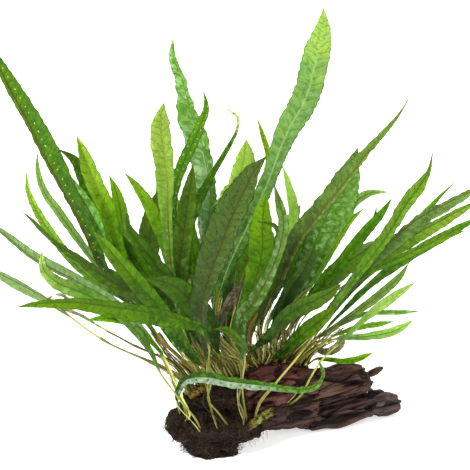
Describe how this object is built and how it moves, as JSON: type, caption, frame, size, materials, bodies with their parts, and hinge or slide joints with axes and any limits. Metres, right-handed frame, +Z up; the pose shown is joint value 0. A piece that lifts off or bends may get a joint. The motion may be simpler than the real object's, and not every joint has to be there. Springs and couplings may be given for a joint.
{
  "type": "java fern on driftwood",
  "caption": "Bushy aquarium fern with narrow strap-shaped fronds on thin stipes, its rhizomes and dark root clump grown onto one end of a forked piece of driftwood.",
  "frame": {"origin": "centre of the root clump's flat underside, on the surface that it rests on", "axes": "+Z up, +X to the right as seen from the front, where the driftwood runs to the right and away, +Y away from the viewer"},
  "size_m": [0.302, 0.194, 0.2733],
  "materials": {
    "driftwood": "dark maroon-brown weathered wood, split along the grain, matt",
    "roots": "brown-black mat of fine fibrous roots, matt and damp",
    "rhizome": "olive-green creeping stem with brown scales",
    "frond_lime": "thin yellow-green young leaf, translucent, semi-gloss",
    "frond_fresh": "fresh green leaf with a quilted surface, semi-gloss",
    "frond_mid": "mid green leaf with pale dots and a brown midrib",
    "frond_dark": "dark green leaf with a brown midrib and dark spots",
    "frond_glaucous": "grey-green leaf with a pale bloom, matt",
    "frond_dry": "withered brown leaf, dry and matt"
  },
  "bodies": {
    "root": {"driftwood_trunk": "driftwood", "driftwood_upper_fork": "driftwood", "driftwood_lower_fork": "driftwood", "driftwood_spur": "driftwood", "root_clump": "roots", "rhizome_front": "rhizome", "rhizome_middle": "rhizome", "rhizome_back": "rhizome", "frond_left_tall": "frond_mid", "frond_left_pale": "frond_glaucous", "frond_left_drooping": "frond_dark", "frond_left_lime": "frond_lime", "frond_left_upright": "frond_fresh", "frond_left_olive": "frond_lime", "frond_left_arching_back": "frond_fresh", "frond_left_arching": "frond_fresh", "frond_left_sweeping": "frond_dark", "frond_left_low_pale": "frond_glaucous", "frond_left_low_lime": "frond_lime", "frond_left_lowest": "frond_glaucous", "frond_left_curled": "frond_dry", "frond_left_front": "frond_fresh", "frond_centre_lime": "frond_lime", "frond_centre_dark_tip": "frond_mid", "frond_centre_tall": "frond_glaucous", "frond_centre_curled": "frond_dark", "frond_centre_broad": "frond_dark", "frond_centre_lime_back": "frond_lime", "frond_centre_dark": "frond_dark", "frond_tallest": "frond_fresh", "frond_centre_yellow": "frond_lime", "frond_centre_arching": "frond_glaucous", "frond_centre_bright": "frond_fresh", "frond_centre_short": "frond_glaucous", "frond_centre_folded": "frond_mid", "frond_centre_leaning": "frond_mid", "frond_centre_shaded": "frond_dark", "frond_front_short": "frond_fresh", "frond_front_crossing": "frond_fresh", "frond_right_tall": "frond_dark", "frond_right_pale": "frond_glaucous", "frond_right_hooked": "frond_fresh", "frond_right_dark_tip": "frond_mid", "frond_right_fresh": "frond_fresh", "frond_right_sweeping": "frond_dark", "frond_right_sweeping_pale": "frond_fresh", "frond_right_sweeping_low": "frond_mid", "frond_right_narrow": "frond_dark", "frond_right_lime": "frond_lime", "frond_right_low": "frond_fresh", "frond_right_withered": "frond_dry", "frond_right_front_bright": "frond_fresh", "frond_right_front_low": "frond_fresh", "frond_back_left": "frond_mid", "frond_back_centre_left": "frond_fresh", "frond_back_centre": "frond_dark", "frond_back_centre_right": "frond_mid", "frond_back_right": "frond_fresh", "frond_back_low": "frond_glaucous"}
  },
  "joints": []
}
